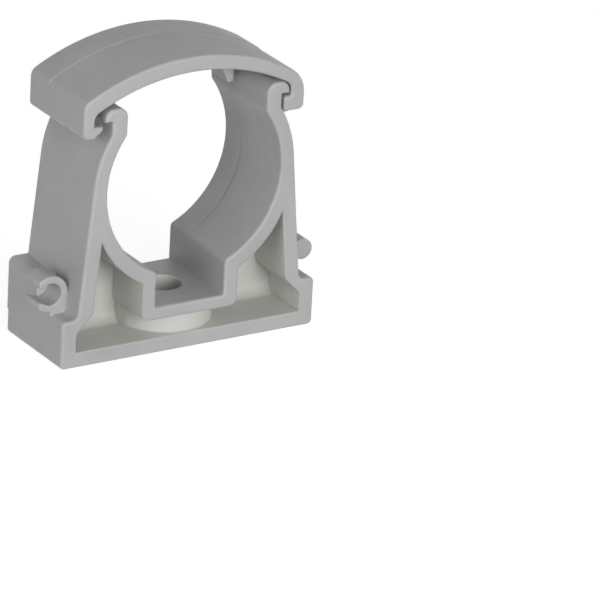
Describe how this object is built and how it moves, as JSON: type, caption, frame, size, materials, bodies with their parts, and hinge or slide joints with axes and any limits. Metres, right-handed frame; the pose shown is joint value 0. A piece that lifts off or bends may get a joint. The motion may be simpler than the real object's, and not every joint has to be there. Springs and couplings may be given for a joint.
{
  "type": "conduit clip",
  "caption": "Moulded clip that holds a round conduit between two arms above a screwed base, closed over the top by a hooked strap on a film tether, with side couplings.",
  "frame": {"origin": "where the screw hole's axis meets the wall-side face of the base", "axes": "+Z away from the wall, +Y along the conduit towards the clip's rear face, +X towards the tethered end of the strap"},
  "size_m": [0.0506, 0.0178, 0.05],
  "materials": {
    "grey_plastic": "moulded, semi-matte"
  },
  "bodies": {
    "clip_body": {"clip_body": "grey_plastic"},
    "closing_strap": {"closing_strap": "grey_plastic"}
  },
  "joints": [
    {"name": "strap_hinge", "type": "hinge", "parent": "clip_body", "child": "closing_strap", "pos_m": [0.018, 0, 0.0373], "axis": [0, 1, 0], "range_deg": [0, 95]}
  ]
}
